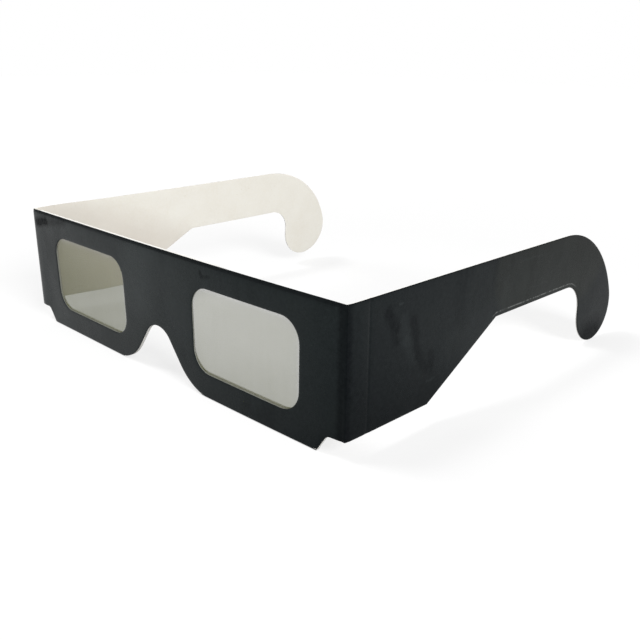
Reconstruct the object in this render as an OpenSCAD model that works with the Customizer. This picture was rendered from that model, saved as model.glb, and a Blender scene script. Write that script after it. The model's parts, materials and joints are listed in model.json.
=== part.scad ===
// Paper stereoscopic glasses: one folded paperboard blank with two lens films glued into its front.
// Millimetres. +X is the wearer's left, -Y the way the wearer looks, +Z up. The origin is on the surface
// that the glasses stand on, in the middle of their width and of their length.

/* [Board] */
// Thickness of the paperboard
board_t = 0.4; // [0.3:0.05:0.6]
// Thickness of the gloss film on the printed face
laminate_t = 0.05; // [0.03:0.01:0.1]

/* [Front] */
// Width of the front, from crease to crease
front_w = 140; // [132:1:150]
// Height of the front and of the temples at the creases
front_h = 38; // [36:0.5:42]

/* [Windows] */
// Width of each window
window_w = 39.6; // [34:0.2:42]
// Height of each window
window_h = 24; // [20:0.2:26]
// Radius of the windows' corners
window_r = 6.2; // [3:0.2:8]
// Width of the bridge between the two windows
bridge_w = 32.8; // [31:0.2:36]
// Height of the windows' lower edge above the bottom of the front
window_sill = 7.1; // [6.4:0.1:8]

/* [Nose cut-out] */
// Height of the nose cut-out
nose_h = 15.2; // [12:0.2:18]
// Radius at the top of the nose cut-out
nose_top_r = 6.5; // [5:0.5:8]
// Radius where the nose cut-out meets the bottom edge
nose_foot_r = 16; // [10:0.5:20]
// Slope of the nose cut-out's sides, in degrees
nose_slope = 53; // [50:1:60]

/* [Corner notches] */
// Height of the creases' and temples' lower ends above the bottom of the front
notch_h = 4.9; // [3.5:0.1:6]
// Level stretch of each notch, beside the crease
notch_flat = 5.1; // [3.5:0.1:6]
// Distance from the crease to where the notch meets the bottom edge
notch_w = 8.2; // [8:0.1:10]
// Radius inside the notch
notch_r = 1.6; // [0.5:0.1:2]

/* [Lenses] */
// Thickness of the lens films and of the glue beside them
film_t = 0.2; // [0.1:0.05:0.4]
// Width of film that is caught between the boards all round a window
film_lap = 2.8; // [1.5:0.1:3]
// Clearance round each lens film in the glue
film_gap = 0.2; // [0.1:0.05:0.4]

/* [Rear flap] */
// Distance from each crease to the side edge of the rear flap
flap_side_gap = 4; // [3:0.5:6]
// Distance from the top edge of the front down to the top edge of the rear flap
flap_top_gap = 0.05; // [0:0.05:1]
// How far the rear flap's windows reach past the front's at their sides and top
flap_window_grow = 0.6; // [0:0.1:1]
// How far the sills of the rear flap's windows stand above those of the front's
flap_sill_rise = 0.4; // [0:0.1:1]

/* [Temples] */
// Length of each temple from the outer face of the front
temple_l = 130.9; // [124:0.1:140]
// Where the level lower edge ends and the slope starts, from the outer face of the front
slope_start = 31; // [24:1:36]
// Where the slope ends and the narrow arm starts
slope_end = 60.8; // [54:0.2:66]
// Height of the narrow arm's lower edge above the bottom of the front
arm_z = 21.4; // [18:0.2:24]
// Radius of the curve over the ear
ear_r = 34; // [30:0.2:42]
// Radius of the rounded hook tip
tip_r = 11.2; // [9:0.2:13]
// Radius inside the hook
hook_r = 8; // [4:0.2:9]

/* [Creases] */
// Clearance between the rear flap and a temple that is folded behind the front
fold_gap = 0.3; // [0.2:0.05:0.6]
// Gap between the ends of the front and of a temple that lie in line
crease_relief = 0.1; // [0.05:0.05:0.2]
// Angle of the wearer's left temple past square, outwards
left_open = 0; // [-5:0.5:5]
// Angle of the wearer's right temple past square, outwards
right_open = -4; // [-5:0.5:5]

/* [Hidden] */
$fn = 96;
// How far a cut runs past the face that it opens through
over = 1;

// The front, the glue and the rear flap, face by face from the outer face backwards
front_y = -temple_l / 2;
board_y = front_y + laminate_t;
glue_y = board_y + board_t;
flap_y = glue_y + film_t;
flap_laminate_y = flap_y + board_t;
stack_t = 2 * laminate_t + 2 * board_t + film_t;

// The bottom folds are half rings round the glue line
fold_r = laminate_t + board_t + film_t / 2;
fold_y = glue_y + film_t / 2;

// A crease bends about an upright axis, set in far enough for the folded temple to clear the rear flap
sheet_t = laminate_t + board_t;
crease_r = (stack_t + sheet_t + fold_gap) / 2;
hinge_x = front_w / 2 - crease_r;
hinge_y = front_y + crease_r;

window_x = (bridge_w + window_w) / 2;
window_z = window_sill + window_h / 2;

// Curved ends of the nose cut-out's straight sides
nose_top_z = nose_h - nose_top_r;
nose_side_x = nose_top_r * sin(nose_slope);
nose_side_z = nose_top_z + nose_top_r * cos(nose_slope);
nose_foot_z = nose_foot_r * (1 - cos(nose_slope));
nose_foot_x = nose_side_x + (nose_side_z - nose_foot_z) / tan(nose_slope) + nose_foot_r * sin(nose_slope);

// The curve over the ear touches the round tip, which touches the surface below
tip_u = temple_l - tip_r;
ear_z = front_h - ear_r;
ear_u = tip_u - sqrt(pow(ear_r - tip_r, 2) - pow(tip_r - ear_z, 2));
ear_end = atan2(tip_r - ear_z, tip_u - ear_u);
hook_u = tip_u - tip_r;

module flat_black() color([0.16, 0.17, 0.17]) children();
module gloss_black() color([0.21, 0.22, 0.22]) children();
module cream() color([0.92, 0.90, 0.86]) children();
module lens_grey() color([0.70, 0.71, 0.68], 0.6) children();

// Points of an arc about (cx, cy), from angle a to angle b
function arc(cx, cy, r, a, b, steps = 16) =
    [for (i = [0:steps]) let (t = a + (b - a) * i / steps) [cx + r * cos(t), cy + r * sin(t)]];

// An upright sheet across the glasses, from y backwards, of a shape drawn in x and z
module across(y, t) translate([0, y + t, 0]) rotate([90, 0, 0]) linear_extrude(t) children();

// The wearer's right side mirrors the left
module right_side() mirror([1, 0, 0]) children();
module both_sides() {
    children();
    right_side() children();
}

// Window with round corners, its sides and top moved out by grow and its sill up by rise. Each corner is
// given by its side, its level and where its arc starts
module window(grow, rise) translate([window_x, window_z + (grow + rise) / 2])
    polygon([for (c = [[1, 1, 0], [-1, 1, 90], [-1, -1, 180], [1, -1, 270]])
        each arc(c[0] * (window_w / 2 + grow - window_r), c[1] * ((window_h + grow - rise) / 2 - window_r),
            window_r, c[2], c[2] + 90, 10)]);

// A lens film, or its pocket in the glue, is a plain rectangle
module film_shape(margin) translate([window_x, window_z])
    square([window_w + 2 * margin, window_h + 2 * margin], center = true);

// Nose cut-out: a round top, straight sloping sides and round feet
module nose() polygon(concat(
    [[nose_foot_x, -over]],
    arc(nose_foot_x, nose_foot_r, nose_foot_r, 270, 270 - nose_slope),
    arc(0, nose_top_z, nose_top_r, 90 - nose_slope, 90 + nose_slope, 24),
    arc(-nose_foot_x, nose_foot_r, nose_foot_r, 270 + nose_slope, 270),
    [[-nose_foot_x, -over]]));

// Notch under a crease: a level stretch, a round inner corner and a slope down to the bottom edge
notch_lean = atan2(notch_h, notch_w - notch_flat);
notch_turn = notch_r * tan(notch_lean / 2);
module notch() polygon(concat(
    [[front_w / 2 + over, -over], [front_w / 2 + over, notch_h]],
    arc(front_w / 2 - notch_flat + notch_turn, notch_h - notch_r, notch_r, 90, 90 + notch_lean, 8),
    [[front_w / 2 - notch_w, 0], [front_w / 2 - notch_w, -over]]));

// Outline of the front without its windows, between bottom edge and top
module face(half_w, top) difference() {
    translate([-half_w, 0]) square([2 * half_w, top]);
    nose();
    both_sides() notch();
}

// The face above the bottom folds, with its windows
module panel(half_w, top, grow, rise) difference() {
    face(half_w, top);
    translate([-half_w - over, -over]) square([2 * (half_w + over), fold_r + over]);
    both_sides() window(grow, rise);
}

flap_half_w = front_w / 2 - flap_side_gap;
flap_h = front_h - flap_top_gap;

module front_shape() panel(hinge_x - crease_relief / 2, front_h, 0, 0);
module flap_shape() panel(flap_half_w, flap_h, flap_window_grow, flap_sill_rise);

module front_board() cream() across(board_y, board_t) front_shape();

module front_laminate() gloss_black() across(front_y, laminate_t) front_shape();

module rear_flap_board() cream() across(flap_y, board_t) flap_shape();

module rear_flap_laminate() flat_black() across(flap_laminate_y, laminate_t) flap_shape();

module lens_glue() color([0.85, 0.84, 0.80]) across(glue_y, film_t) difference() {
    flap_shape();
    both_sides() film_shape(film_lap + film_gap);
}

module lens_film() lens_grey() across(glue_y, film_t) film_shape(film_lap);

// Half ring of board from the front's outer face round to the flap's, cut to the outline of the face
module bottom_fold() gloss_black() intersection() {
    translate([0, fold_y, fold_r]) rotate([90, 0, 90]) linear_extrude(front_w / 2) difference() {
        circle(fold_r);
        circle(film_t / 2);
        translate([-fold_r, 0]) square([2 * fold_r, fold_r]);
    }
    across(front_y, stack_t) face(flap_half_w, front_h);
}

// Crease seen from above about its axis: a bent strip with a short straight end on each panel
module crease_plan(open) {
    intersection() {
        difference() {
            circle(crease_r);
            circle(crease_r - sheet_t);
        }
        polygon([[0, 0], [0, -2 * crease_r], [2 * crease_r, -2 * crease_r],
            [2 * crease_r * cos(open), -2 * crease_r * sin(open)]]);
    }
    translate([-crease_relief / 2, -crease_r]) square([crease_relief / 2, sheet_t]);
    rotate(-open) translate([crease_r - sheet_t, 0]) square([sheet_t, crease_relief / 2]);
}

module crease(open) flat_black() translate([hinge_x, hinge_y, notch_h])
    linear_extrude(front_h - notch_h) crease_plan(open);

// Temple outline, from the crease backwards and upwards
module temple_shape() polygon(concat(
    [[crease_r + crease_relief / 2, front_h], [crease_r + crease_relief / 2, notch_h],
        [slope_start, notch_h], [slope_end, arm_z]],
    arc(hook_u - hook_r, arm_z - hook_r, hook_r, 90, 0, 12),
    arc(tip_u, tip_r, tip_r, 180, 360, 24),
    arc(tip_u, tip_r, tip_r, 0, ear_end, 4),
    arc(ear_u, ear_z, ear_r, ear_end, 90, 24)));

// A sheet of the temple at its place about the crease's axis
module temple_sheet(inset, t, open) translate([hinge_x, hinge_y, 0]) rotate([0, 0, -open])
    translate([crease_r - inset - t, -crease_r, 0]) rotate([90, 0, 90]) linear_extrude(t) temple_shape();

module temple_board(open) cream() temple_sheet(laminate_t, board_t, open);

module temple_laminate(open) gloss_black() temple_sheet(0, laminate_t, open);

front_board();
front_laminate();
bottom_fold();  // left_bottom_fold
right_side() bottom_fold();  // right_bottom_fold
rear_flap_board();
rear_flap_laminate();
lens_glue();
lens_film();  // left_lens_film
right_side() lens_film();  // right_lens_film
crease(left_open);  // left_crease
right_side() crease(right_open);  // right_crease
temple_board(left_open);  // left_temple_board
temple_laminate(left_open);  // left_temple_laminate
right_side() temple_board(right_open);  // right_temple_board
right_side() temple_laminate(right_open);  // right_temple_laminate
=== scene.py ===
import json
import math

import bmesh
import bpy
import numpy as np
from mathutils import Matrix, Vector
from mathutils.geometry import delaunay_2d_cdt


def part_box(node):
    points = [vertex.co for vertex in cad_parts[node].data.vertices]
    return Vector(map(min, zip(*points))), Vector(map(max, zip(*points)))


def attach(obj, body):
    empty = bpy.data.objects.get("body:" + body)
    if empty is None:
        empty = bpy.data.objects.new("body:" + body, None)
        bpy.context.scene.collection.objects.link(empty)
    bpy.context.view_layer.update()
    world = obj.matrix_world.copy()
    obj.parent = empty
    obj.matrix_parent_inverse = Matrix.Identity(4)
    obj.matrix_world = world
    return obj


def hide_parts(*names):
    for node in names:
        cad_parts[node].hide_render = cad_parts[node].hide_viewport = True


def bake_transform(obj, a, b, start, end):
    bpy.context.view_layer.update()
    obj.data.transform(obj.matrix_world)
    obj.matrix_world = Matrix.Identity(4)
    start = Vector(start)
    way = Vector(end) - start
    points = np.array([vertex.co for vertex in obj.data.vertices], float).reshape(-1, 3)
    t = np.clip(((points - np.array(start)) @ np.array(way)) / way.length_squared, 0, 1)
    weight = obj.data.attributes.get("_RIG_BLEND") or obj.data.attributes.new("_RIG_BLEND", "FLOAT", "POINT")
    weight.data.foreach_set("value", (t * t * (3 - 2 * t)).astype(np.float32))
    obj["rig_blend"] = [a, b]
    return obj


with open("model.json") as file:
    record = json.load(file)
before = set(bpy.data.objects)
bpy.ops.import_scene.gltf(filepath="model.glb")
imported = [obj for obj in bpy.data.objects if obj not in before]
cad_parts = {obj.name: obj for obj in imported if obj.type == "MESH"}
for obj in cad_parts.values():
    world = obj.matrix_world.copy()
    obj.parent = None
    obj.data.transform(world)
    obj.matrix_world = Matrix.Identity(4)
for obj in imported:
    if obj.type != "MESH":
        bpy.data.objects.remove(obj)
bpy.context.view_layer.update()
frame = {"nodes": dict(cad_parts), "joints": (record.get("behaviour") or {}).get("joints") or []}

MM = 0.001
UP = np.array((0.0, 0.0, 1.0))
TINY = 1e-6

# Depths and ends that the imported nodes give
FRONT_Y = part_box("front_laminate")[0].y
FRONT_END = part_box("front_laminate")[1].x
FRONT_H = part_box("front_laminate")[1].z
SHEET_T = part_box("front_board")[1].y - FRONT_Y
HINGES = {j["child"]: np.array(j["pos_m"]) for j in frame["joints"]}
CREASE_R = HINGES["left_temple"][1] - FRONT_Y
HALF_W = HINGES["left_temple"][0] + CREASE_R
TEMPLE_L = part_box("left_temple_laminate")[1].y - FRONT_Y

# How the front departs from flat, as the photograph shows it: bowed forwards, more so at its top, its far
# and near ends leaning, its belly leaning the other way, and its bow a little lopsided
BOW = 0.77 * MM
BOW_TOP = 0.17 * MM
LEAN_FAR = math.radians(1.24)
LEAN_NEAR = math.radians(-0.49)
LEAN_BELLY = math.radians(0.18)
LOPSIDED = -0.32 * MM
# Its top edge curls back. The temples pull its lower corners: back at the near end, forwards at the far end
BROW_W = 2.2 * MM
BROW_DROP = 0.42 * MM
PULL_NEAR = 0.52 * MM
PULL_FAR = -0.40 * MM
PULL_START = 0.88
PULL_END = 0.98
# At its top the flap behind the front stands off it and rises a little, and the glue fills the gap
SPLAY_W = 3.5 * MM
SPLAY = 0.45 * MM
RISE = 0.36 * MM
# Towards the left crease it lies flat again and ends lower, which leaves room for the folded left temple
DIP_START = 24 * MM
DIP_END = 50 * MM
DIP = 1.4 * MM
# Both sheets turn in softly towards a crease, and a second score line runs beside it on the temples
ROUND_W = 1.8 * MM
ROUND_DROP = 0.17 * MM
SCORE_U = 7.9 * MM
SCORE_W = 0.42 * MM
SCORE_DROP = 0.09 * MM
BAND_TILT = math.radians(0.8)
# Each temple leans at its crease, twists about this height and is lifted beyond this distance
CREASE_LEAN = math.radians(-0.8)
TWIST_Z = 20.9 * MM
LIFT_START = 30 * MM
# One may bulge outwards past its crease, most at the second score line and less towards its top edge. The
# right temple does, which leaves room for the left hook under it when both are folded
BULGE_END = 28 * MM
BULGE_TOP = 18 * MM
BULGE_FADE = 0.7
# Angle outwards, middle sag outwards, twist at the tip, lift and bulge of each temple
TEMPLE_BENDS = {
    "left_temple": (math.radians(0.83), -0.25 * MM, math.radians(-2.54), 0.0, 0.0),
    "right_temple": (math.radians(-0.10), -1.17 * MM, math.radians(-8.48), math.radians(1.79), 2.15 * MM),
}

# The die presses cut edges: a tight round at the very edge and a shallow one further in
RIM_W = 0.14 * MM
RIM_DROP = 0.05 * MM
PRESS_W = 1.2 * MM
PRESS_DROP = 0.06 * MM
# How far the outer and the inner face of each kind of sheet follow that
FILM_RIM = (1.0, -1.0)
BOARD_RIM = (1.0, 0.3)
GLUE_RIM = (0.5, 0.5)
NO_RIM = (0.0, 0.0)
# Where the haze of glue on a lens film begins and ends, from the film's own edge
EDGE_NEAR = 2.8 * MM
EDGE_FAR = 3.5 * MM
# Farthest distance from a cut edge that the materials tell apart
MARGIN = 4.0 * MM

# Mesh spacing in the plane of a sheet, in millimetres: along edges, inside, and the rows beside a cut edge
EDGE_STEP = 1.4
GRID_STEP = 2.6
ROWS = (0.14, 0.4, 0.75, 1.2)
# Segments this close to an end of a sheet, in millimetres, lie on it, and points this close are one
AT_END = 0.01
MERGE = 1e-5
# Points keep this share of a row's distance, and those inside this much more than the last row's
ROW_ROOM = 0.9
GRID_ROOM = 0.5
# Added lines of points up a sheet where it turns: their spacing, the first one's height, and their distances
# from a crease and from the second score line
COLUMN_STEP = 0.8
COLUMN_INSET = 0.2
TURN_COLUMNS = (0.3, 0.7, 1.3)
SCORE_COLUMNS = (-0.8, -0.45, -0.25, -0.1, 0.1, 0.25, 0.45, 0.8)
# A crease's steps round and up, how far its ends look back for their direction, and where its blend begins
CREASE_STEPS = 12
CREASE_ROWS = 24
LOOK_BACK = 0.05 * MM
BLEND_INSET = 0.03
# A bottom fold's rim and core, as shares of its height
FOLD_RIM = 0.97
FOLD_CORE = 0.3
# Edges sharper than this stay crisp
CRISP = math.radians(35)

# Marks on the gloss film in millimetres along a panel and up it: start, end, reach, softness, strength.
# Marks of positive strength are dull and dark, the others pale
FRONT_MARKS = (((-67, 33.8), (-60.5, 35.1), 0.8, 1.8, 0.85), ((-62, 34.6), (-49, 36.8), 0.5, 1.8, 0.5),
               ((20.9, 35.4), (21.6, 34.5), 0.3, 0.6, 0.5), ((21.6, 34.5), (23.8, 34.4), 0.1, 0.6, 0.35),
               ((-45, 2), (-16, 3), 3.0, 5.0, 0.10), ((-8, 37), (-9, 24), 3.0, 8.0, -0.38),
               ((4, 37), (13, 18), 3.0, 7.0, -0.12), ((68.7, 0), (68.7, 38), 0.5, 1.1, 0.5))
TEMPLE_MARKS = (((14.5, 33), (17.0, 28.5), 1.1, 1.3, 0.45), ((17.0, 28.5), (17.4, 25), 0.6, 1.3, 0.35),
                ((23.9, 29), (25, 25), 0.9, 1.1, 0.4), ((25, 25), (25.4, 21), 0.5, 1.0, 0.4),
                ((25.4, 21), (29.5, 15), 0.8, 1.3, 0.4), ((31.5, 19), (31.4, 15), 0.8, 1.2, 0.35),
                ((20.2, 30), (21.4, 24.5), 1.0, 1.3, -0.3), ((21.4, 24.5), (24.5, 18), 0.6, 1.3, -0.3),
                ((71, 34.9), (83.6, 35), 0.05, 0.35, -0.3), ((77.8, 26.3), (88, 26.1), 0.05, 0.4, -0.2),
                ((30.4, 11.7), (33.3, 11.5), 0.1, 0.4, -0.5), ((18.2, 34.5), (19.5, 34.3), 0.05, 0.3, -0.8),
                ((40, 15.5), (72, 29), 2.5, 4.0, -0.2), ((112, 30), (122, 12), 8.0, 6.0, 0.18),
                ((117, 1), (121, 1), 3.0, 7.0, 0.75), ((0.9, 0), (0.9, 38), 0.5, 1.4, 0.5))
# Painted shade on the bare inside of the right temple, near the front's top edge and low by the crease, in
# the same terms, and greasy haze on the left arm
BOARD_SHADE_MARKS = (((1, 37), (52, 18), 2.0, 9.0, 0.5), ((0, 14), (32, 12), 8.0, 8.0, 0.5))
HAZE_MARKS = (((75, 32), (108, 32), 14.0, 3.0, 0.6),)
# A dotted line is rubbed along the arm's lower edge: its distance from the edge, its width, the heights that
# it fades out between, and the stretches along the arm where it fades in and out
FOOT_LINE = 1.2 * MM
FOOT_LINE_W = 0.25 * MM
FOOT_Z = (23.5 * MM, 25 * MM)
FOOT_FROM = (-7 * MM, -5 * MM)
FOOT_TO = (38 * MM, 41 * MM)
# Gloss of the film, and of the film that is stretched round a crease
GLOSS = 0.163
CREASE_GLOSS = 0.08

# Colours of the black print, where it is pale, greasy, rubbed and scuffed, and the tint of its gloss
PRINT = ((0.0034, 0.0039, 0.0048, 1), (0.0056, 0.0063, 0.0074, 1))
PRINT_PALE = (0.0080, 0.0090, 0.0092, 1)
PRINT_GREASY = (0.0125, 0.0130, 0.0108, 1)
PRINT_RUBBED = (0.105, 0.108, 0.105, 1)
PRINT_SCUFFED = (0.30, 0.29, 0.27, 1)
GLOSS_TINT = (0.72, 1.0, 1.0, 1)
# Colours of the bare board with its flecks and specks, the painted shade on it, and of its cut edges: dark,
# light and soiled
BARE = ((0.828, 0.797, 0.715, 1), (0.868, 0.845, 0.772, 1))
BARE_FLECK = (0.89, 0.87, 0.82, 1)
BARE_SPECK = (0.70, 0.64, 0.54, 1)
# Colour of the painted shade on the right temple's inside
BARE_PAINTED_SHADE = (0.64, 0.585, 0.52, 1)
EDGE_RAW = ((0.90, 0.885, 0.845, 1), (0.965, 0.955, 0.93, 1), (0.76, 0.73, 0.67, 1))
# The windows' cut edges are given darker greys than the outer cut edges
DARK_CUT_TONES = ((0.16, 0.165, 0.145, 1), (0.26, 0.265, 0.235, 1), (0.12, 0.12, 0.105, 1))
# Colours of the dried glue, and of the lens film with its glued edge
GLUE_TONES = ((0.80, 0.785, 0.745, 1), (0.92, 0.905, 0.87, 1))
LENS_TONES = ((0.115, 0.130, 0.015, 1), (0.145, 0.160, 0.030, 1))
LENS_GLUED = (0.45, 0.45, 0.40, 1)
# How much the lens film hides: in its thin and thick streaks, more at a slant, and more at its foot as
# painted shade
LENS_HIDES = (0.276, 0.292)
LENS_SLANT = (0.055, 0.165)
SLANT_FACING = (0.44, 0.51)
LENS_SHADE_FOOT = 0.022
LENS_SHADE_HEIGHTS = (9 * MM, 20 * MM)

# The photograph's camera
FRAME_PX = 640
FOCAL_PX = 767.3
SENSOR = 36.0
CAMERA_TARGET = (33.60 * MM, -35.45 * MM, 18.20 * MM)
CAMERA_AZIMUTH = math.radians(43.70)
CAMERA_ELEVATION = math.radians(19.44)
CAMERA_ROLL = math.radians(1.13)
CAMERA_DISTANCE = 213.8 * MM
CLIP = (0.01, 20)

# The studio: a floor that shines white to the eye only, more so far out, and the world's strength on matt
# surfaces and in gloss
FLOOR_SIZE = 4.0
FLOOR_COLOUR = (0.27, 0.27, 0.27, 1)
FLOOR_GLOW = 0.71
GLOW_NEAR = 0.15
GLOW_FAR = 1.2
AMBIENT = 0.33
GLOSS_SKY = 0.3
# How bright the floor shows in the gloss, against x plus y in millimetres: dark below the near crease, and
# dim on the wearer's left
GLOSS_FLOOR = ((-150, 1.0), (-70, 0.80), (-20, 0.50), (5, 0.05), (40, 0.07), (85, 0.30), (130, 0.56),
               (230, 0.55), (320, 0.36))
# Each lamp's name, place, size, power and whether the gloss mirrors it
LAMPS = (("right", (0.95, -0.25, 0.52), 0.45, 11.1, True), ("high", (-0.45, -0.35, 1.10), 0.3, 5.4, True),
         ("left", (-0.90, -0.30, 0.40), 0.6, 3.2, False))


def smooth(value, low, high):
    """0 below the low value, 1 above the high one, softly between."""
    share = np.clip((value - low) / (high - low), 0, 1)
    return share * share * (3 - 2 * share)


def front_bend(p, z):
    """Inward shift of the front at a place along it and a height."""
    t = p / HALF_W
    bow = BOW + BOW_TOP * (2 * z / FRONT_H - 1) - LOPSIDED * t
    lean = math.tan(LEAN_FAR) * (1 - t) / 2 + math.tan(LEAN_NEAR) * (1 + t) / 2
    lean = lean + math.tan(LEAN_BELLY) * (1 - t * t)
    turn = np.clip((np.abs(p) - FRONT_END + ROUND_W) / ROUND_W, 0, None)
    brow = np.clip((z - FRONT_H + BROW_W) / BROW_W, 0, None) * np.clip(1 - turn / 2, 0, 1)
    pull = smooth(np.abs(t), PULL_START, PULL_END) * np.where(t > 0, PULL_NEAR, PULL_FAR)
    pull = pull * (1 - z / FRONT_H)
    return ROUND_DROP * turn ** 2 + BROW_DROP * brow ** 2 + pull - bow * (1 - t * t) - lean * z


def temple_bend(body):
    """Inward shift of a temple: opened, sagging, twisted, bulging, with a second score line."""
    opened, sag, twist, _, bulge = TEMPLE_BENDS[body]

    def bend(p, z):
        w = p / TEMPLE_L
        out = math.tan(opened) * p + sag * 4 * w * (1 - w) + math.tan(twist) * (z - TWIST_Z) * w
        out = out + math.tan(CREASE_LEAN) * (z - FRONT_H) * (1 - w)
        swell = smooth(p, CREASE_R, SCORE_U) - smooth(p, SCORE_U, BULGE_END)
        out = out + bulge * swell * (1 - BULGE_FADE * smooth(z, BULGE_TOP, FRONT_H))
        turn = np.clip((CREASE_R + ROUND_W - p) / ROUND_W, 0, None)
        band = math.tan(BAND_TILT) * np.clip(SCORE_U - p, 0, None)
        score = SCORE_DROP * np.exp(-((p - SCORE_U) / SCORE_W) ** 2)
        return -out + ROUND_DROP * turn ** 2 + band + score

    return bend


class Panel:
    """A sheet in its own plane: p runs along it, z up it and depth inwards from its outer face."""

    def __init__(self, origin, along, inward, bend, pitch=0.0):
        self.origin, self.along, self.inward = origin, along, inward
        self.bend, self.pitch = bend, pitch

    def flat(self, node):
        """Rows of p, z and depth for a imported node's vertices."""
        points = np.array([v.co for v in frame["nodes"][node].data.vertices], float) - self.origin
        return np.stack([points @ self.along, points[:, 2], points @ self.inward], 1)

    def place(self, p, z, depth):
        """Points of the bent sheet. Depth is measured square to the bent face."""
        p, z, depth = np.broadcast_arrays(np.asarray(p, float), z, depth)
        shift = self.bend(p, z)
        slope_p = (self.bend(p + TINY, z) - shift) / TINY
        slope_z = (self.bend(p, z + TINY) - shift) / TINY
        p, z = p - depth * slope_p, z - depth * slope_z
        c, s = math.cos(self.pitch), math.sin(self.pitch)
        p, z = p * c - z * s * np.clip(p / LIFT_START, 0, 1), p * s + z * c
        inward = shift + depth
        return (self.origin + p[..., None] * self.along + inward[..., None] * self.inward
                + z[..., None] * UP)


def temple_panel(body, side):
    """A temple's plane, from the largest face of its film."""
    faces = frame["nodes"][body + "_laminate"].data.polygons
    normal = np.array(max(faces, key=lambda f: f.area).normal)
    inward = -normal * np.sign(normal[0] * side)
    along = np.array((-inward[1], inward[0], 0.0))
    along *= np.sign(along[1])
    origin = HINGES[body] * (1, 1, 0) - CREASE_R * (inward + along)
    return Panel(origin, along, inward, temple_bend(body), TEMPLE_BENDS[body][3])


FRONT = Panel(np.array((0, FRONT_Y, 0)), np.array((1.0, 0, 0)), np.array((0, 1.0, 0)), front_bend)
TEMPLES = {"left_temple": temple_panel("left_temple", 1), "right_temple": temple_panel("right_temple", -1)}


def pressed(distance):
    """How far a face draws in at that distance from a cut edge."""
    rim = np.clip(1 - distance / RIM_W, 0, 1) ** 2
    press = np.clip(1 - distance / PRESS_W, 0, 1) ** 2
    return RIM_DROP * rim + PRESS_DROP * press


def outer_loops(panel, node):
    """Outlines of a flat node's outer face, the widest first, in millimetres of p and z."""
    points = panel.flat(node)
    outer = points[:, 2].min()
    key = [tuple(np.round(q[:2] / MM, 4)) for q in points]
    follow = {}
    for face in frame["nodes"][node].data.polygons:
        ids = list(face.vertices)
        if all(points[i, 2] < outer + TINY for i in ids):
            for a, b in zip(ids, ids[1:] + ids[:1]):
                follow.setdefault(key[a], set()).add(key[b])
    border = {a: b for a, bs in follow.items() for b in bs if a not in follow.get(b, ())}
    loops = []
    while border:
        start = next(iter(border))
        loop, at = [], start
        while at in border:
            loop.append(at)
            at = border.pop(at)
        loops.append(np.array(loop))
    return sorted(loops, key=lambda loop: np.ptp(loop[:, 0]), reverse=True)


def finer(loop):
    """The loop with no stretch longer than the edge step."""
    points = []
    for a, b in zip(loop, np.roll(loop, -1, 0)):
        n = max(1, math.ceil(np.hypot(*(b - a)) / EDGE_STEP))
        points += [a + (b - a) * i / n for i in range(n)]
    return np.array(points)


def inside(points, loops):
    """Whether each point is within the outline, counting its holes out."""
    within = np.zeros(len(points), bool)
    x, z = points[:, 0, None], points[:, 1, None]
    for loop in loops:
        a, b = loop, np.roll(loop, -1, 0)
        with np.errstate(divide="ignore", invalid="ignore"):
            cross = a[:, 0] + (z - a[:, 1]) / (b[:, 1] - a[:, 1]) * (b[:, 0] - a[:, 0])
        hits = ((a[:, 1] > z) != (b[:, 1] > z)) & (x < cross)
        within ^= hits.sum(1) % 2 == 1
    return within


def edge_distance(points, segments):
    """Distance from each point to the nearest of the segments."""
    a, b = segments[:, 0], segments[:, 1]
    d = b - a
    t = ((points[:, None] - a) * d).sum(2) / (d * d).sum(1)
    near = a + d * np.clip(t, 0, 1)[..., None]
    return np.hypot(*np.moveaxis(points[:, None] - near, 2, 0)).min(1)


def triangles(loops, columns=()):
    """A triangulated sheet within the loops: its points, triangles and outline, and how many of its points
    lie on the first loop. Columns are added lines of points."""
    loops = [finer(loop) for loop in loops]
    outline = np.concatenate(loops)
    segments = np.concatenate([np.stack([loop, np.roll(loop, -1, 0)], 1) for loop in loops])
    free = []
    for loop in loops:
        along = np.roll(loop, -1, 0) - np.roll(loop, 1, 0)
        normal = np.stack([-along[:, 1], along[:, 0]], 1) / np.hypot(*along.T)[:, None]
        for row in ROWS:
            for sign in (1, -1):
                moved = loop + normal * row * sign
                keep = inside(moved, loops)
                keep[keep] = edge_distance(moved[keep], segments) > row * ROW_ROOM
                free.append(moved[keep])
    low, high = outline.min(0), outline.max(0)
    xs = np.arange(low[0] + GRID_STEP / 2, high[0], GRID_STEP)
    zs = np.arange(low[1] + GRID_STEP / 2, high[1], GRID_STEP)
    lines = [np.array([(x, z) for z in zs for x in xs])]
    clear = [ROWS[-1] + GRID_ROOM]
    for column in columns:
        heights = np.arange(low[1] + COLUMN_INSET, high[1], COLUMN_STEP)
        lines.append(np.array([(column, z) for z in heights]))
        clear.append(ROWS[0])
    for points, gap in zip(lines, clear):
        points = points[inside(points, loops)]
        free.append(points[edge_distance(points, segments) > gap])
    points = [tuple(q) for q in outline]
    taken = {(round(x, 1), round(z, 1)) for x, z in points}
    for x, z in np.concatenate(free):
        spot = (round(x, 1), round(z, 1))
        if spot not in taken:
            taken.add(spot)
            points.append((x, z))
    edges, first = [], 0
    for loop in loops:
        ids = list(range(first, first + len(loop)))
        edges += zip(ids, ids[1:] + ids[:1])
        first += len(loop)
    made = delaunay_2d_cdt([Vector(q) for q in points], edges, [], 0, MERGE)
    points = np.array([tuple(v) for v in made[0]])
    faces = np.array(made[2])
    return points, faces[inside(points[faces].mean(1), loops)], segments, len(loops[0])


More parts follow.
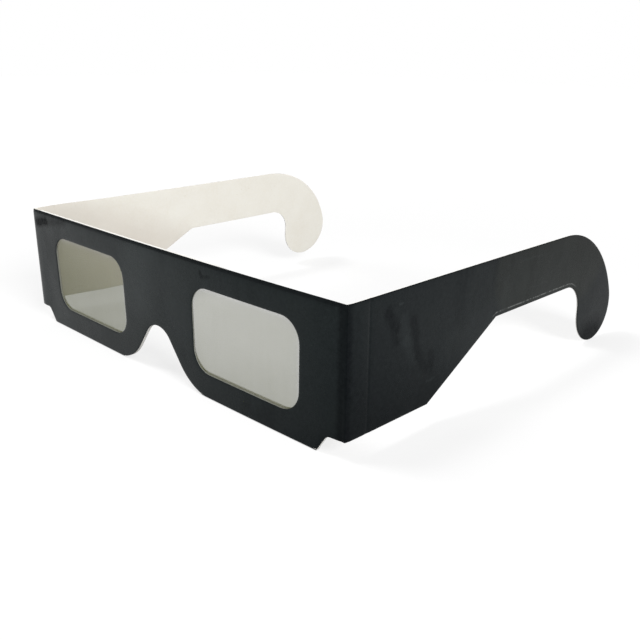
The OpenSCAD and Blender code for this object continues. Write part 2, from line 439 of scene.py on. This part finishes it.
def mesh_object(node, points, faces, kinds, materials, margin):
    """The piece for a node, from points in place, with a material index for each face, each point's
    distance from the nearest cut edge, and smooth shading up to the crisp angle."""
    name = "bent_" + node
    mesh = bpy.data.meshes.new(name)
    mesh.from_pydata([tuple(q) for q in points], [], [tuple(int(i) for i in f) for f in faces])
    for made in materials:
        mesh.materials.append(made)
    mesh.polygons.foreach_set("material_index", kinds)
    margin = np.minimum(margin, MARGIN).astype(np.float32)
    mesh.attributes.new("margin", "FLOAT", "POINT").data.foreach_set("value", margin)
    work = bmesh.new()
    work.from_mesh(mesh)
    bmesh.ops.recalc_face_normals(work, faces=work.faces)
    for face in work.faces:
        face.smooth = True
    for line in work.edges:
        line.smooth = line.calc_face_angle(0) < CRISP
    work.to_mesh(mesh)
    work.free()
    made = bpy.data.objects.new(name, mesh)
    bpy.context.scene.collection.objects.link(made)
    return made


def sheet(panel, node, materials, rim, joined=(), columns=(), splay=(0, 0)):
    """A node's flat sheet, bent. Materials are for its outer face, its inner face, its outer cut edges and
    those of its windows. Joined names the sides where the real sheet runs on into the next. Splay is how
    far its outer and its inner face follow the flap."""
    depth = panel.flat(node)[:, 2]
    points, faces, segments, outer_count = triangles(outer_loops(panel, node), columns)
    low, high = points.min(0), points.max(0)
    middle = segments.mean(1)
    cut = np.ones(len(segments), bool)
    for side, ends in (("start", middle[:, 0] < low[0] + AT_END), ("end", middle[:, 0] > high[0] - AT_END),
                       ("bottom", middle[:, 1] < low[1] + AT_END)):
        if side in joined:
            cut &= ~ends
    distance = edge_distance(points, segments[cut]) * MM
    draw = pressed(distance)
    p, z = points[:, 0] * MM, points[:, 1] * MM
    off = np.clip((z - FRONT_H + SPLAY_W) / SPLAY_W, 0, 1) ** 2
    dip = np.clip((p - DIP_START) / (DIP_END - DIP_START), 0, 1)
    rise, away = off * (RISE - dip * (RISE + DIP)), off * SPLAY * (1 - dip)
    outer = panel.place(p, z + splay[0] * rise, depth.min() + rim[0] * draw + splay[0] * away)
    inner = panel.place(p, z + splay[1] * rise, depth.max() - rim[1] * draw + splay[1] * away)
    n = len(points)
    sides = {(a, b) for f in faces for a, b in zip(f, np.roll(f, -1))}
    border = sorted((a, b) for a, b in sides if (b, a) not in sides)
    walls = [(a, b, b + n, a + n) for a, b in border]
    solid = list(faces) + [tuple(np.array(f)[::-1] + n) for f in faces] + walls
    kinds = [0] * len(faces) + [1] * len(faces) + [2 if a < outer_count else 3 for a, b in border]
    return mesh_object(node, np.concatenate([outer, inner]), solid, kinds, materials, np.tile(distance, 2))


def bent_fold(node, materials):
    """A bottom fold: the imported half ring, cut across at close steps and bent with the front. Faces on its
    rim are film, those at its core are the board's inside and the rest are cut ends."""
    work = bmesh.new()
    work.from_mesh(frame["nodes"][node].data)
    bmesh.ops.remove_doubles(work, verts=work.verts, dist=TINY)
    low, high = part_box(node)
    for x in np.arange(low.x + EDGE_STEP * MM, high.x, EDGE_STEP * MM):
        everything = work.verts[:] + work.edges[:] + work.faces[:]
        bmesh.ops.bisect_plane(work, geom=everything, plane_co=(x, 0, 0), plane_no=(1, 0, 0),
                               dist=TINY / 10)
    bmesh.ops.remove_doubles(work, verts=work.verts, dist=TINY)
    work.verts.index_update()
    flat = np.array([v.co for v in work.verts]) - FRONT.origin
    faces = [[v.index for v in f.verts] for f in work.faces]
    work.free()
    ring = np.array((flat[:, 1].max() / 2, high.z))
    reach = np.hypot(flat[:, 1] - ring[0], flat[:, 2] - ring[1])
    kinds = []
    for ids in faces:
        if min(reach[ids]) > high.z * FOLD_RIM:
            kinds.append(0)
        elif max(reach[ids]) < high.z * FOLD_CORE:
            kinds.append(1)
        else:
            kinds.append(2)
    margin = np.full(len(flat), MARGIN)
    for ids, kind in zip(faces, kinds):
        if kind == 2:
            margin[ids] = 0.0
    placed = FRONT.place(flat[:, 0], flat[:, 2], flat[:, 1])
    return mesh_object(node, placed, faces, kinds, materials, margin)


def crease(node, body, side, materials):
    """A crease: a strip that turns from the end of the front into the start of its temple."""
    low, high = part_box(node)
    temple = TEMPLES[body]
    end, start = side * FRONT_END, temple.flat(body + "_board")[:, 0].min()
    rows = np.array((0,) + ROWS) * MM
    body_z = np.linspace(low.z + rows[-1], high.z - rows[-1], CREASE_ROWS)
    z = np.concatenate([low.z + rows[:-1], body_z, high.z - rows[-2::-1]])
    distance = np.minimum(z - low.z, high.z - z)
    draw = pressed(distance)
    s = np.linspace(0, 1, CREASE_STEPS + 1)[:, None, None]
    grids = []
    for depth in (draw, SHEET_T - BOARD_RIM[1] * draw):
        a, a_back = FRONT.place(end, z, depth), FRONT.place(end - side * LOOK_BACK, z, depth)
        b, b_on = temple.place(start, z, depth), temple.place(start + LOOK_BACK, z, depth)
        turn_a, turn_b = a - a_back, b_on - b
        turn_a /= np.linalg.norm(turn_a, axis=1)[:, None]
        turn_b /= np.linalg.norm(turn_b, axis=1)[:, None]
        chord = np.linalg.norm(b - a, axis=1)[:, None]
        angle = np.arccos(np.clip((turn_a * turn_b).sum(1), -1, 1))[:, None]
        handle = chord * 2 / 3 * np.tan(angle / 4) / np.sin(angle / 2)
        c, d = a + turn_a * handle, b - turn_b * handle
        grids.append(a * (1 - s) ** 3 + 3 * c * s * (1 - s) ** 2 + 3 * d * s ** 2 * (1 - s) + b * s ** 3)
    columns, height = grids[0].shape[:2]
    points = np.concatenate([g.reshape(-1, 3) for g in grids])
    n = columns * height

    def at(layer, i, j):
        return layer * n + i * height + j

    faces, kinds = [], []
    for i in range(columns - 1):
        for j in range(height - 1):
            for layer in (0, 1):
                faces.append([at(layer, i, j), at(layer, i + 1, j),
                              at(layer, i + 1, j + 1), at(layer, i, j + 1)])
                kinds.append(layer)
        for j in (0, height - 1):
            faces.append([at(0, i, j), at(1, i, j), at(1, i + 1, j), at(0, i + 1, j)])
            kinds.append(2)
    for i in (0, columns - 1):
        for j in range(height - 1):
            faces.append([at(0, i, j), at(0, i, j + 1), at(1, i, j + 1), at(1, i, j)])
            kinds.append(2)
    made = mesh_object(node, points, faces, kinds, materials, np.tile(distance, 2 * columns))
    lean = np.array((0, 0, math.tan(LEAN_NEAR if side > 0 else LEAN_FAR)))
    a, b = FRONT.place(end, low.z, 0.0), temple.place(start, low.z, 0.0)
    step = b - a
    step = step * (1, 1, 0) + lean * step[1]
    first, last = a + step * BLEND_INSET, a + step * (1 - BLEND_INSET)
    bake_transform(made, "front", body, start=tuple(first), end=tuple(last))
    return made


class Finish:
    """A procedural material: its principled shader, and short calls for the nodes that feed it."""

    def __init__(self, name):
        self.material = bpy.data.materials.new(name)
        self.material.use_nodes = True
        self.tree = self.material.node_tree
        self.shader = self.tree.nodes["Principled BSDF"]
        self.coordinates = self.node("ShaderNodeTexCoord").outputs["Object"]
        self.wavy = None

    def node(self, kind, settings=(), **inputs):
        """A new node with those settings. Inputs go by name, or by number after an underscore."""
        made = self.tree.nodes.new(kind)
        for name, value in dict(settings).items():
            setattr(made, name, value)
        for name, value in inputs.items():
            self.feed(made, name, value)
        return made

    def feed(self, node, name, value):
        """Sets a socket, or links another node's output to it."""
        socket = node.inputs[int(name[1:]) if name[0] == "_" else name.replace("_", " ")]
        if isinstance(value, bpy.types.NodeSocket):
            self.tree.links.new(value, socket)
        else:
            socket.default_value = value

    def vector(self, operation, a, b=None, **inputs):
        """A vector math node on one or two vectors."""
        if b is not None:
            inputs["_1"] = b
        return self.node("ShaderNodeVectorMath", {"operation": operation}, _0=a, **inputs)

    def noise(self, size, detail=3.0, stretch=(1, 1, 1), seed=0.0, bend=None):
        """Noise with features of that size, in metres. Bend is another noise and how far it moves this
        one."""
        place = self.coordinates
        if bend:
            moved = self.vector("SCALE", (1, 1, 0), Scale=bend[1]).outputs[0]
            moved = self.vector("SCALE", moved, Scale=bend[0]).outputs[0]
            place = self.vector("ADD", place, moved).outputs[0]
        mapping = self.node("ShaderNodeMapping", Vector=place, Scale=stretch, Location=(seed,) * 3)
        made = self.node("ShaderNodeTexNoise", Vector=mapping.outputs[0], Scale=1 / size, Detail=detail)
        return made.outputs[0]

    def range(self, value, low, high, out_low, out_high):
        """The value mapped from one range to another."""
        made = self.node("ShaderNodeMapRange", Value=value, From_Min=low, From_Max=high,
                         To_Min=out_low, To_Max=out_high)
        return made.outputs[0]

    def steps(self, value, stops):
        """The value, in millimetres, mapped through straight lines between the stops."""
        low, high = stops[0][0], stops[-1][0]
        ramp = self.node("ShaderNodeValToRGB", Fac=self.range(value, low * MM, high * MM, 0, 1))
        elements = ramp.color_ramp.elements
        for place, level in stops[1:-1]:
            elements.new((place - low) / (high - low))
        for element, (place, level) in zip(elements, stops):
            element.color = (level, level, level, 1)
        return ramp.outputs["Color"]

    def math(self, operation, a, b=0.0):
        """The result of one or two numbers."""
        return self.node("ShaderNodeMath", {"operation": operation}, _0=a, _1=b).outputs[0]

    def mix(self, factor, a, b):
        """Colour a where the factor is 0, colour b where it is 1."""
        made = self.node("ShaderNodeMix", {"data_type": "RGBA"}, _0=factor, _6=a, _7=b)
        return made.outputs[2]

    def bump(self, height, distance, normal=None):
        """A normal that follows the height, on top of another normal if one is given."""
        made = self.node("ShaderNodeBump", Height=height, Distance=distance)
        if normal:
            self.feed(made, "Normal", normal)
        return made.outputs[0]

    def margin(self):
        """Distance from the nearest cut edge."""
        return self.node("ShaderNodeAttribute", {"attribute_name": "margin"}).outputs["Fac"]

    def stroke(self, start, end, reach, soft, strength):
        """A soft line from start to end. Its outline wavers a little. It reaches right through along an axis
        where both ends are 0."""
        if self.wavy is None:
            waver = self.vector("SCALE", (1, 1, 1), Scale=self.noise(2.5 * MM, 2, seed=15.0)).outputs[0]
            waver = self.vector("SCALE", waver, Scale=2 * MM).outputs[0]
            self.wavy = self.vector("ADD", self.coordinates, waver).outputs[0]
        start, end = Vector(start), Vector(end)
        across = Vector([1.0 if a or b else 0.0 for a, b in zip(start, end)])
        along = end - start
        place = self.vector("MULTIPLY_ADD", self.wavy, across, _2=-start - across * MM).outputs[0]
        share = self.vector("DOT_PRODUCT", place, along / along.length_squared).outputs["Value"]
        near = self.vector("SCALE", along, Scale=self.range(share, 0, 1, 0, 1)).outputs[0]
        away = self.vector("DISTANCE", place, near).outputs["Value"]
        return self.range(away, reach, reach + soft, strength, 0)

    def arm_foot(self):
        """1 along the lower edge of a temple's arm."""
        split = self.node("ShaderNodeSeparateXYZ", Vector=self.coordinates).outputs
        low = self.range(split["Z"], *FOOT_Z, 1, 0)
        behind = self.range(split["Y"], *FOOT_FROM, 0, 1)
        before = self.range(split["Y"], *FOOT_TO, 1, 0)
        return self.math("MULTIPLY", low, self.math("MULTIPLY", behind, before))

    def set(self, **sockets):
        """Feeds the shader's own sockets."""
        for name, value in sockets.items():
            self.feed(self.shader, name, value)
        return self.material


def black_film(name, marks=(), place=None, haze=(), lined=False, shine=GLOSS):
    """Black print under gloss film: mottled by the board, smeared by fingers, scuffed at its cut edges.
    Place turns a mark's millimetres into a point. Haze is more marks, warm and pale. Lined adds the dotted
    line that is rubbed along the arm."""
    f = Finish(name)
    mottle = f.range(f.noise(1.3 * MM, 4), 0.35, 0.65, 0, 1)
    black = f.mix(mottle, *PRINT)
    pale = f.range(f.noise(18 * MM, 2, seed=4.0), 0.45, 0.7, 0, 0.4)
    colour = f.mix(pale, black, PRINT_PALE)
    for start, end, reach, soft, strength in haze:
        stroke = f.stroke(place(*start), place(*end), reach * MM, soft * MM, strength)
        colour = f.mix(stroke, colour, PRINT_GREASY)
    margin = f.margin()
    if lined:
        line = f.range(f.math("ABSOLUTE", f.math("SUBTRACT", margin, FOOT_LINE)), 0.5 * FOOT_LINE_W,
                       FOOT_LINE_W, 1, 0)
        dots = f.range(f.noise(0.9 * MM, 1, seed=6.0), 0.44, 0.56, 0.15, 1)
        line = f.math("MULTIPLY", line, dots)
        colour = f.mix(f.math("MULTIPLY", line, f.arm_foot()), colour, PRINT_RUBBED)
    worn = f.math("MULTIPLY", f.range(margin, 0, 0.35 * MM, 1, 0), f.noise(0.7 * MM, 4, seed=3.0))
    colour = f.mix(f.range(worn, 0.5, 0.62, 0, 0.12), colour, PRINT_SCUFFED)
    warp = f.noise(9 * MM, 2, seed=2.0)
    smear = f.noise(5 * MM, 1, stretch=(1, 1, 0.3), seed=5.0, bend=(warp, 9 * MM))
    patch = f.range(f.noise(26 * MM, 1, seed=8.0), 0.48, 0.6, 0, 0.15)
    dull = f.math("MULTIPLY", f.range(smear, 0.50, 0.58, 0, 1), patch)
    for start, end, reach, soft, strength in sorted(marks, key=lambda mark: mark[-1], reverse=True):
        stroke = f.stroke(place(*start), place(*end), reach * MM, soft * MM, abs(strength))
        dull = f.math("MAXIMUM" if strength > 0 else "SUBTRACT", dull, stroke)
    dull = f.math("ADD", dull, f.range(f.noise(0.6 * MM, 2, seed=14.0), 0.3, 0.7, -0.12, 0.12))
    gloss = f.range(dull, 0, 1, shine, 0.0)
    gloss.node.clamp = False
    cloud = f.range(f.noise(14 * MM, 4, seed=7.0), 0.35, 0.7, 0.24, 0.36)
    grain = f.range(f.noise(0.5 * MM, 2, seed=1.0), 0.3, 0.7, -0.03, 0.03)
    ripple = f.bump(f.noise(5 * MM, 2, seed=5.5), 0.05 * MM)
    skin = f.bump(f.noise(0.8 * MM, 3, seed=9.5), 0.004 * MM, ripple)
    return f.set(Base_Color=colour, Roughness=f.math("ADD", cloud, grain), Normal=skin,
                 Specular_IOR_Level=gloss, Specular_Tint=GLOSS_TINT)


def cream_board(name, marks=(), place=None):
    """Bare inside of the board: matt cream with faint mottling, fibres and a few specks. Marks paint shade on
    it.
    """
    f = Finish(name)
    cloud = f.range(f.noise(9 * MM, 4), 0.3, 0.7, 0, 1)
    fine = f.range(f.noise(0.9 * MM, 5, seed=2.0), 0.35, 0.65, 0, 1)
    base = f.mix(cloud, *BARE)
    flecked = f.mix(f.math("MULTIPLY", fine, 0.35), base, BARE_FLECK)
    fibre = f.noise(0.5 * MM, 3, stretch=(1, 0.35, 3), seed=4.0)
    speck = f.range(f.noise(1.1 * MM, 2, seed=6.0), 0.70, 0.76, 0, 0.35)
    colour = f.mix(speck, flecked, BARE_SPECK)
    # Each mark is painted shade, darkening the board towards the shade colour
    for start, end, reach, soft, strength in marks:
        stroke = f.stroke(place(*start), place(*end), reach * MM, soft * MM, strength)
        colour = f.mix(stroke, colour, BARE_PAINTED_SHADE)
    return f.set(Base_Color=colour, Roughness=0.92, Normal=f.bump(fibre, 0.012 * MM),
                 Specular_IOR_Level=0.25)


def raw_edge(name, dark, light, soiled):
    """Cut edge of the board: torn fibres in thin plies, soiled in patches."""
    f = Finish(name)
    torn = f.noise(0.25 * MM, 4, seed=8.0)
    soil = f.range(f.noise(3 * MM, 3, seed=2.5), 0.45, 0.8, 0, 0.4)
    fibres = f.mix(f.range(torn, 0.3, 0.7, 0, 1), dark, light)
    return f.set(Base_Color=f.mix(soil, fibres, soiled), Roughness=0.95, Normal=f.bump(torn, 0.03 * MM),
                 Specular_IOR_Level=0.2)


def glue_line():
    """Dried glue between the boards: off-white and uneven."""
    f = Finish("dried_glue")
    lumps = f.noise(0.8 * MM, 3, seed=11.0)
    colour = f.mix(lumps, *GLUE_TONES)
    return f.set(Base_Color=colour, Roughness=f.range(lumps, 0, 1, 0.45, 0.7),
                 Normal=f.bump(lumps, 0.02 * MM))


def grey_film():
    """Lens film: see-through grey that hides more at a slant, with faint streaks and patches, hazy with glue
    where the boards clamp it, and hiding more at its foot as painted shade of the shadowed floor behind it."""
    f = Finish("grey_film")
    streak = f.noise(1.6 * MM, 3, stretch=(1, 1, 0.06), seed=12.0)
    haze = f.noise(9 * MM, 3, seed=13.0)
    tone = f.math("ADD", f.math("MULTIPLY", streak, 0.4), f.math("MULTIPLY", haze, 0.6))
    colour = f.mix(tone, *LENS_TONES)
    edge = f.range(f.margin(), EDGE_NEAR, EDGE_FAR, 0.75, 0)
    colour = f.mix(edge, colour, LENS_GLUED)
    facing = f.node("ShaderNodeLayerWeight", Blend=0.5).outputs["Facing"]
    slant = f.range(facing, *SLANT_FACING, *LENS_SLANT)
    height = f.node("ShaderNodeSeparateXYZ", Vector=f.coordinates).outputs["Z"]
    # Painted shade: the film hides more towards its foot, for the shadowed floor seen through it
    foot_shade = f.range(height, *LENS_SHADE_HEIGHTS, LENS_SHADE_FOOT, 0)
    alpha = f.math("ADD", f.math("ADD", slant, foot_shade), f.range(tone, 0.3, 0.7, *LENS_HIDES))
    return f.set(Base_Color=colour, Roughness=f.range(haze, 0.3, 0.7, 0.10, 0.2),
                 Normal=f.bump(haze, 0.03 * MM), Alpha=alpha, Specular_IOR_Level=0.2)


def on_front(p, z):
    """Where a mark on the front lies. The 0 lets it reach through the sheet."""
    return p * MM, 0.0, z * MM


def on_temple(p, z):
    """Where a mark on a temple lies. The 0 lets it reach through the sheet."""
    return 0.0, FRONT_Y + p * MM, z * MM


BLACK, CREAM, GLUE, GREY = black_film("black_film"), cream_board("cream_board"), glue_line(), grey_film()
FRONT_BLACK = black_film("front_film", FRONT_MARKS, on_front)
LEFT_BLACK = black_film("left_film", TEMPLE_MARKS, on_temple, HAZE_MARKS, lined=True)
CREASE_BLACK = black_film("crease_film", shine=CREASE_GLOSS)
# The right temple's inside gets painted shade by the front and the crease
RIGHT_CREAM_SHADED = cream_board("painted_shade_board", BOARD_SHADE_MARKS, on_temple)
RAW, DARK_CUT = raw_edge("raw_edge", *EDGE_RAW), raw_edge("dark_cut_edge", *DARK_CUT_TONES)


def dress(made, node, body="front"):
    """Ties a piece to its body, unless it blends between two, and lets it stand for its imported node."""
    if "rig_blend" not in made:
        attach(made, body)
    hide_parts(node)


def front_pieces():
    """The front's own sheets, the flap behind it, the glue and the two films between them."""
    sides = ("start", "end", "bottom")
    turns = [FRONT_END / MM - k for k in TURN_COLUMNS]
    turns += [-k for k in turns]
    film, outer = (FRONT_BLACK, BLACK, FRONT_BLACK, FRONT_BLACK), "front_laminate"
    dress(sheet(FRONT, outer, film, FILM_RIM, sides, turns), outer)
    board = (RAW, CREAM, RAW, DARK_CUT)
    dress(sheet(FRONT, "front_board", board, BOARD_RIM, sides, turns), "front_board")
    dress(sheet(FRONT, "lens_glue", (GLUE, GLUE, GLUE, GLUE), GLUE_RIM, splay=(0, 1)), "lens_glue")
    board = (CREAM, RAW, RAW, RAW)
    dress(sheet(FRONT, "rear_flap_board", board, BOARD_RIM[::-1], ("bottom",), splay=(1, 1)),
          "rear_flap_board")
    dress(sheet(FRONT, "rear_flap_laminate", (BLACK, BLACK, BLACK, BLACK), FILM_RIM[::-1], ("bottom",),
                splay=(1, 1)), "rear_flap_laminate")
    for side in ("left", "right"):
        lens, fold = side + "_lens_film", side + "_bottom_fold"
        dress(sheet(FRONT, lens, (GREY, GREY, GREY), NO_RIM), lens)
        dress(bent_fold(fold, (BLACK, CREAM, RAW)), fold)


def temple_pieces(side, sign):
    """A temple's board and film, and the crease that carries it."""
    body = side + "_temple"
    board, film, strip = body + "_board", body + "_laminate", side + "_crease"
    columns = [SCORE_U / MM + k for k in SCORE_COLUMNS] + [CREASE_R / MM + k for k in TURN_COLUMNS]
    black, cream = (LEFT_BLACK, CREAM) if side == "left" else (BLACK, RIGHT_CREAM_SHADED)
    dress(sheet(TEMPLES[body], film, (black, black, black), FILM_RIM, ("start",), columns),
          film, body)
    dress(sheet(TEMPLES[body], board, (RAW, cream, RAW), BOARD_RIM, ("start",), columns),
          board, body)
    dress(crease(strip, body, sign, (CREASE_BLACK, CREAM, RAW)), strip)


front_pieces()
temple_pieces("left", 1)
temple_pieces("right", -1)


def most(tree, path, names):
    """1 for rays of any of the named kinds."""
    total = path[names[0]]
    for name in names[1:]:
        either = tree.nodes.new("ShaderNodeMath")
        either.operation = "MAXIMUM"
        tree.links.new(total, either.inputs[0])
        tree.links.new(path[name], either.inputs[1])
        total = either.outputs[0]
    return total


def white_world():
    """White to the eye, paler than the floor in gloss, and a plain even light on the object."""
    world = bpy.data.worlds.new("studio")
    bpy.context.scene.world = world
    world.use_nodes = True
    tree = world.node_tree
    background = tree.nodes["Background"]
    background.inputs["Color"].default_value = (1, 1, 1, 1)
    path = tree.nodes.new("ShaderNodeLightPath").outputs
    value = AMBIENT
    for names, strength in ((("Is Glossy Ray",), GLOSS_SKY), (("Is Camera Ray", "Is Transmission Ray"), 1.0)):
        step = tree.nodes.new("ShaderNodeMapRange")
        if isinstance(value, float):
            step.inputs["To Min"].default_value = value
        else:
            tree.links.new(value, step.inputs["To Min"])
        step.inputs["To Max"].default_value = strength
        tree.links.new(most(tree, path, names), step.inputs["Value"])
        value = step.outputs[0]
    tree.links.new(value, background.inputs["Strength"])


def pale_floor():
    """A pale floor that keeps the object's shadow, lifted to white where no shadow falls."""
    mesh = bpy.data.meshes.new("floor")
    h = FLOOR_SIZE / 2
    mesh.from_pydata([(-h, -h, 0), (h, -h, 0), (h, h, 0), (-h, h, 0)], [], [(0, 1, 2, 3)])
    floor = bpy.data.objects.new("floor", mesh)
    bpy.context.scene.collection.objects.link(floor)
    f = Finish("floor")
    f.set(Base_Color=FLOOR_COLOUR, Roughness=1.0, Specular_IOR_Level=0.0,
          Emission_Color=(1, 1, 1, 1))
    away = f.vector("LENGTH", f.coordinates).outputs["Value"]
    lift = f.range(away, GLOW_NEAR, GLOW_FAR, FLOOR_GLOW, 1.0)
    path = f.node("ShaderNodeLightPath").outputs
    along = f.vector("DOT_PRODUCT", f.coordinates, (1, 1, 0))
    dim = f.steps(along.outputs["Value"], GLOSS_FLOOR)
    seen = most(f.tree, path, ("Is Camera Ray", "Is Transmission Ray"))
    seen = f.math("MAXIMUM", seen, f.math("MULTIPLY", path["Is Glossy Ray"], dim))
    glow = f.math("MULTIPLY", seen, lift)
    f.feed(f.shader, "Emission_Strength", glow)
    mesh.materials.append(f.material)


def soft_lamp(name, place, size, power, shown):
    """A square lamp aimed at the object. Shown is whether the gloss mirrors it."""
    light = bpy.data.lights.new(name, "AREA")
    light.size = size
    light.energy = power
    lamp = bpy.data.objects.new(name, light)
    bpy.context.scene.collection.objects.link(lamp)
    lamp.location = place
    lamp.visible_glossy = shown
    lamp.rotation_euler = (-Vector(place)).to_track_quat("-Z", "Y").to_euler()


def photo_camera():
    """The camera where the photograph was taken from."""
    az, el = CAMERA_AZIMUTH, CAMERA_ELEVATION
    back = Vector((math.sin(az) * math.cos(el), -math.cos(az) * math.cos(el), math.sin(el)))
    right = (-back).cross(Vector(UP)).normalized()
    up = back.cross(right)
    c, s = math.cos(CAMERA_ROLL), math.sin(CAMERA_ROLL)
    right, up = right * c + up * s, up * c - right * s
    data = bpy.data.cameras.new("camera")
    data.sensor_width = SENSOR
    data.lens = FOCAL_PX * SENSOR / FRAME_PX
    data.clip_start, data.clip_end = CLIP
    camera = bpy.data.objects.new("camera", data)
    bpy.context.scene.collection.objects.link(camera)
    turned = Matrix((right, up, back)).transposed().to_4x4()
    camera.matrix_world = Matrix.Translation(Vector(CAMERA_TARGET) + back * CAMERA_DISTANCE) @ turned
    bpy.context.scene.camera = camera


white_world()
pale_floor()
for lamp in LAMPS:
    soft_lamp(*lamp)
photo_camera()
bpy.context.scene.view_settings.view_transform = "Standard"
